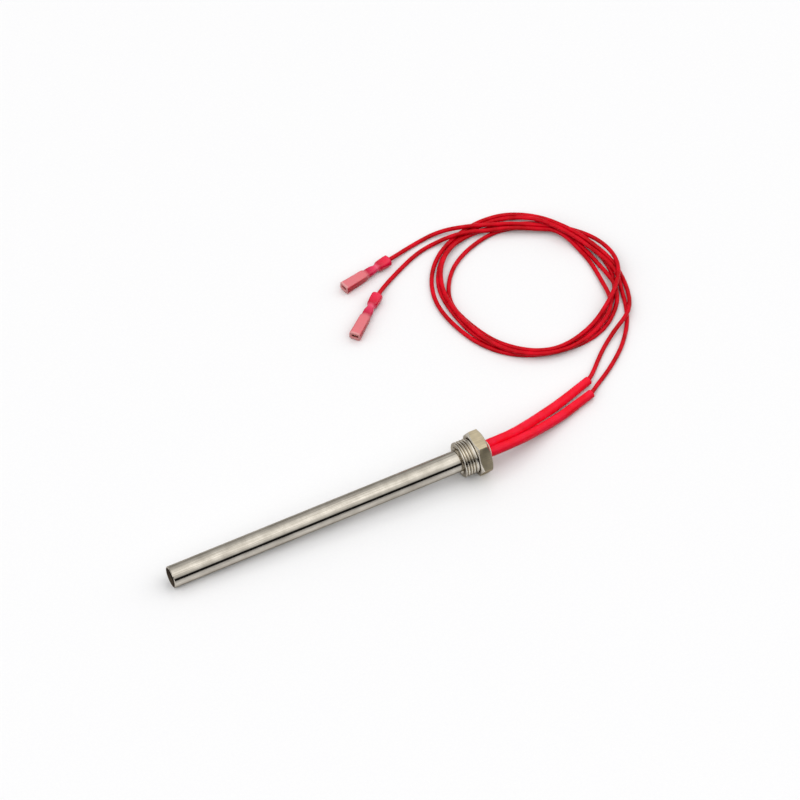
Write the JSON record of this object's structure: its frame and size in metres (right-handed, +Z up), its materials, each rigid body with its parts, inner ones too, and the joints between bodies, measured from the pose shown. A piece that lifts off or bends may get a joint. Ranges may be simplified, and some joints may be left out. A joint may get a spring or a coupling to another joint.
{
  "type": "pellet stove igniter",
  "caption": "Cartridge heater in a steel tube with a screw-in hexagon fitting and sleeved red leads, coiled loose and ending in insulated push-on receptacles.",
  "frame": {"origin": "on the table, half way along the heater between its open tip and the ends of its terminal pins, under the tube's centre line; the leads are not counted", "axes": "+X along the heater on the table, from the tip towards the leads; +Y across it, towards the coil of the leads; +Z up"},
  "size_m": [0.2594, 0.1402, 0.0192],
  "materials": {
    "sheath": "satin",
    "fitting": "satin",
    "braze": "satin",
    "magnesia": "matte",
    "core_ceramic": "matte",
    "resistance_alloy": "satin",
    "pin_nickel": "satin",
    "potting": "matte",
    "splice_barrel": "satin",
    "copper_strand": "satin",
    "sleeve": "gloss",
    "lead": "gloss",
    "contact": "satin",
    "cover": "gloss"
  },
  "bodies": {
    "root": {"sheath_tube": "sheath", "tip_disc": "sheath", "magnesia_fill": "magnesia", "heater_core": "core_ceramic", "resistance_wire": "resistance_alloy", "pin_a": "pin_nickel", "pin_b": "pin_nickel", "end_bush": "core_ceramic", "potting_seal": "potting", "hex_fitting": "fitting", "braze_ring": "braze", "splice_a": "splice_barrel", "splice_b": "splice_barrel", "strand_a_root": "copper_strand", "strand_b_root": "copper_strand", "strand_a_end": "copper_strand", "strand_b_end": "copper_strand", "sleeve_a": "sleeve", "sleeve_b": "sleeve", "lead_a_feed": "lead", "lead_b_feed": "lead", "lead_coil": "lead", "lead_a_tail": "lead", "lead_b_tail": "lead", "contact_a": "contact", "contact_b": "contact", "cover_a": "cover", "cover_b": "cover"}
  },
  "joints": []
}
